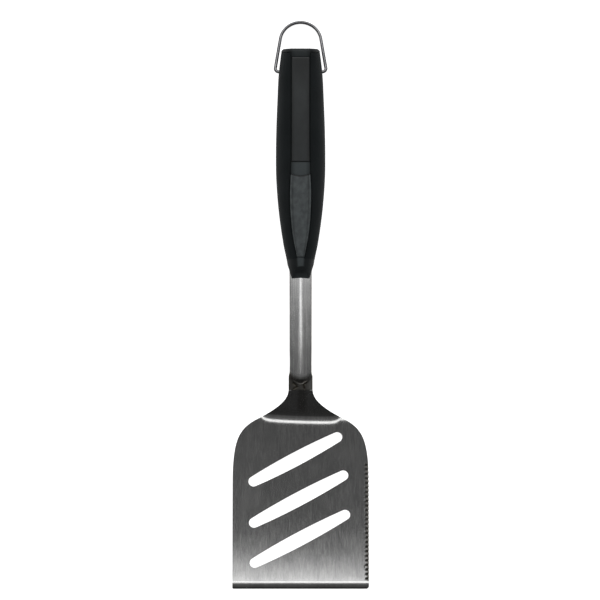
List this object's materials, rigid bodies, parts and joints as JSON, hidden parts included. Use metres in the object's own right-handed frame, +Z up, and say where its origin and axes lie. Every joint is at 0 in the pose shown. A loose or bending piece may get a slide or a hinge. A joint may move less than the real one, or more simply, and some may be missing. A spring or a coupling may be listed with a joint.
{
  "type": "grill spatula",
  "caption": "Long-handled barbecue turner with a slotted blade, a serrated side, a bevelled front edge, an oval tube shaft, a soft-grip handle and a swinging wire hanging loop.",
  "frame": {"origin": "on the resting surface, under the middle of the bounding box, with the spatula lying as it rests on a table: the blade's heel and the belly of the handle touch Z = 0", "axes": "+X across the blade towards its serrated side; +Y along the shaft from the blade to the hanging loop; +Z up, out of the side of the blade that carries food. The shaft is parallel to Y, and the blade rises 8 degrees towards its front edge."},
  "size_m": [0.1037, 0.432, 0.025],
  "materials": {
    "blade_steel": "stainless sheet brushed along its length, polished over the bends",
    "tube_steel": "stainless tube brushed along its length",
    "pin_steel": "plain turned steel",
    "wire_steel": "drawn spring-steel wire, satin",
    "hard_plastic": "hard black plastic, fine moulded texture",
    "soft_grip": "soft black overmould, matte",
    "satin_plastic": "black plastic, smoother satin",
    "inlay_plastic": "black plastic, fine moulded texture, blank",
    "plug_plastic": "plain moulded plastic, hidden"
  },
  "bodies": {
    "spatula": {"blade": "blade_steel", "shaft_tube": "tube_steel", "tube_plug": "plug_plastic", "lock_pin": "pin_steel", "nose_collar": "hard_plastic", "handle_core": "hard_plastic", "grip_sleeve": "soft_grip", "thumb_pad": "satin_plastic", "upper_inlay": "inlay_plastic"},
    "hanging_loop": {"hanging_loop": "wire_steel"}
  },
  "joints": [
    {"name": "loop_swing", "type": "hinge", "parent": "spatula", "child": "hanging_loop", "pos_m": [0, 0.1765, 0.012], "axis": [1, 0, 0], "range_deg": [-129, 160]}
  ]
}
